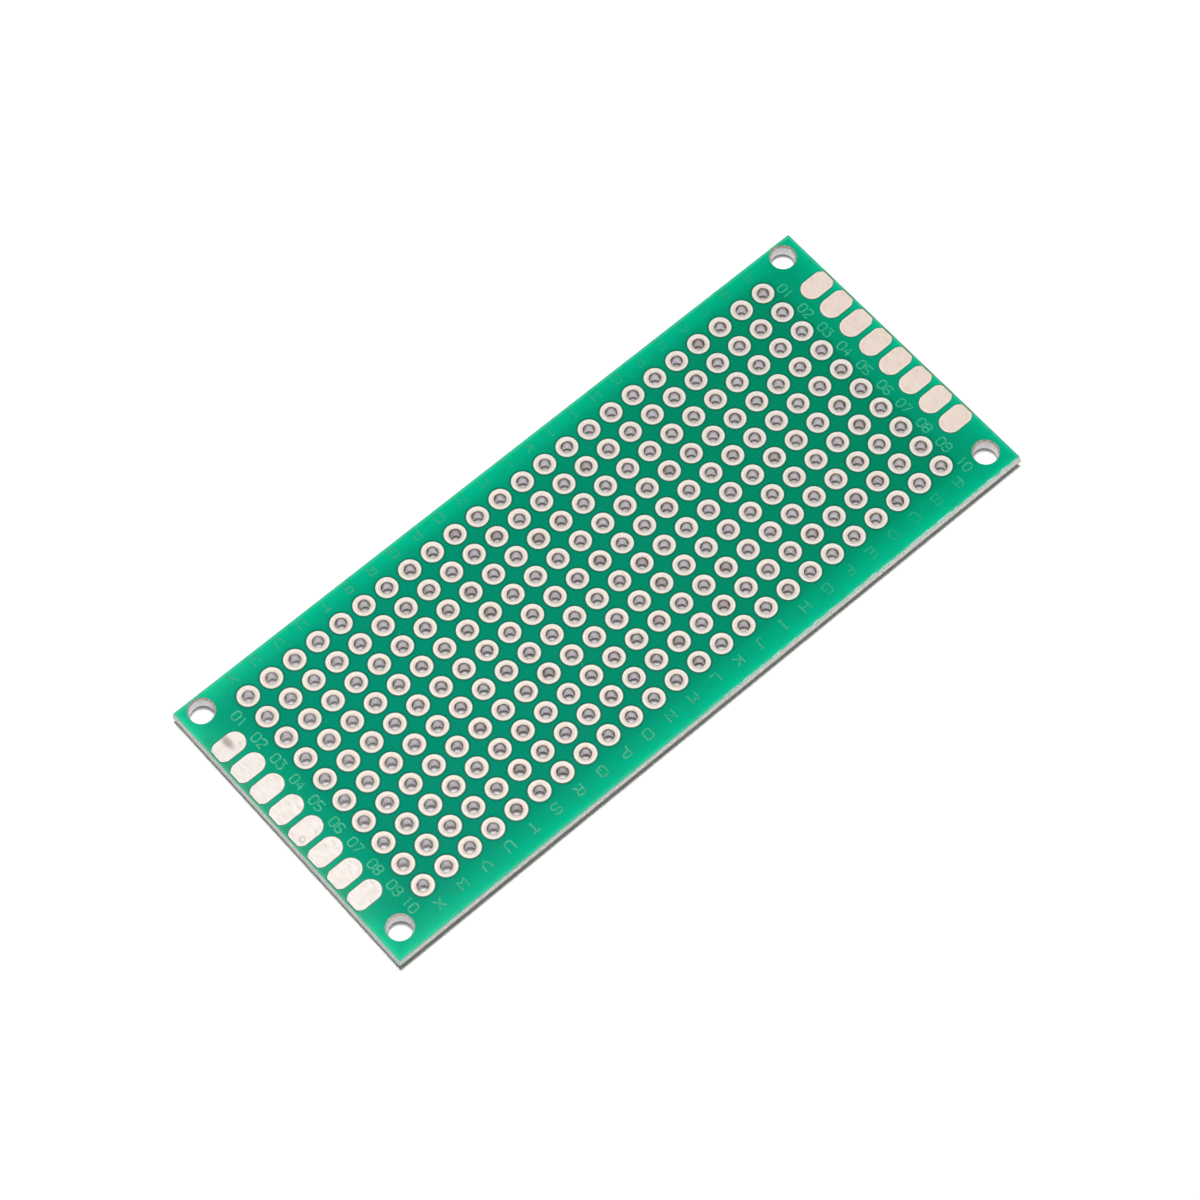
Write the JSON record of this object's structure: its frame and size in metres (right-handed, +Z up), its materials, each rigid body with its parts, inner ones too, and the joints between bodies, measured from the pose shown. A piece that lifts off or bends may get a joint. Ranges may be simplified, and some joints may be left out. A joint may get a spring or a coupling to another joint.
{
  "type": "prototype board",
  "caption": "Blank double-sided prototype circuit board: green solder mask, a grid of tinned plated holes, oblong end pads, scored edges and corner mounting holes.",
  "frame": {"origin": "middle of the board's box, on the plane that it rests on", "axes": "+X along the board towards column A, +Y across it towards row 01, +Z up out of the face with the index marks"},
  "size_m": [0.0698, 0.0298, 0.0016],
  "materials": {
    "glass_epoxy": "cream woven glass and epoxy, paler and fibrous where the score lines were snapped",
    "green_mask": "thin blue-green solder mask, satin gloss, lighter towards the edges",
    "tinned_copper": "hot-tinned copper, soft satin, slightly warm"
  },
  "bodies": {
    "root": {"laminate": "glass_epoxy", "solder_mask_top": "green_mask", "solder_mask_bottom": "green_mask", "hole_plating_a": "tinned_copper", "hole_plating_b": "tinned_copper", "hole_plating_c": "tinned_copper", "hole_plating_d": "tinned_copper", "hole_plating_e": "tinned_copper", "hole_plating_f": "tinned_copper", "hole_plating_g": "tinned_copper", "hole_plating_h": "tinned_copper", "hole_plating_i": "tinned_copper", "hole_plating_j": "tinned_copper", "hole_plating_k": "tinned_copper", "hole_plating_l": "tinned_copper", "hole_plating_m": "tinned_copper", "hole_plating_n": "tinned_copper", "hole_plating_o": "tinned_copper", "hole_plating_p": "tinned_copper", "hole_plating_q": "tinned_copper", "hole_plating_r": "tinned_copper", "hole_plating_s": "tinned_copper", "hole_plating_t": "tinned_copper", "hole_plating_u": "tinned_copper", "hole_plating_v": "tinned_copper", "hole_plating_w": "tinned_copper", "hole_plating_x": "tinned_copper", "end_pad_a02_top": "tinned_copper", "end_pad_a03_top": "tinned_copper", "end_pad_a04_top": "tinned_copper", "end_pad_a05_top": "tinned_copper", "end_pad_a06_top": "tinned_copper", "end_pad_a07_top": "tinned_copper", "end_pad_a08_top": "tinned_copper", "end_pad_a09_top": "tinned_copper", "end_pad_x02_top": "tinned_copper", "end_pad_x03_top": "tinned_copper", "end_pad_x04_top": "tinned_copper", "end_pad_x05_top": "tinned_copper", "end_pad_x06_top": "tinned_copper", "end_pad_x07_top": "tinned_copper", "end_pad_x08_top": "tinned_copper", "end_pad_x09_top": "tinned_copper", "end_pad_a02_bottom": "tinned_copper", "end_pad_a03_bottom": "tinned_copper", "end_pad_a04_bottom": "tinned_copper", "end_pad_a05_bottom": "tinned_copper", "end_pad_a06_bottom": "tinned_copper", "end_pad_a07_bottom": "tinned_copper", "end_pad_a08_bottom": "tinned_copper", "end_pad_a09_bottom": "tinned_copper", "end_pad_x02_bottom": "tinned_copper", "end_pad_x03_bottom": "tinned_copper", "end_pad_x04_bottom": "tinned_copper", "end_pad_x05_bottom": "tinned_copper", "end_pad_x06_bottom": "tinned_copper", "end_pad_x07_bottom": "tinned_copper", "end_pad_x08_bottom": "tinned_copper", "end_pad_x09_bottom": "tinned_copper"}
  },
  "joints": []
}
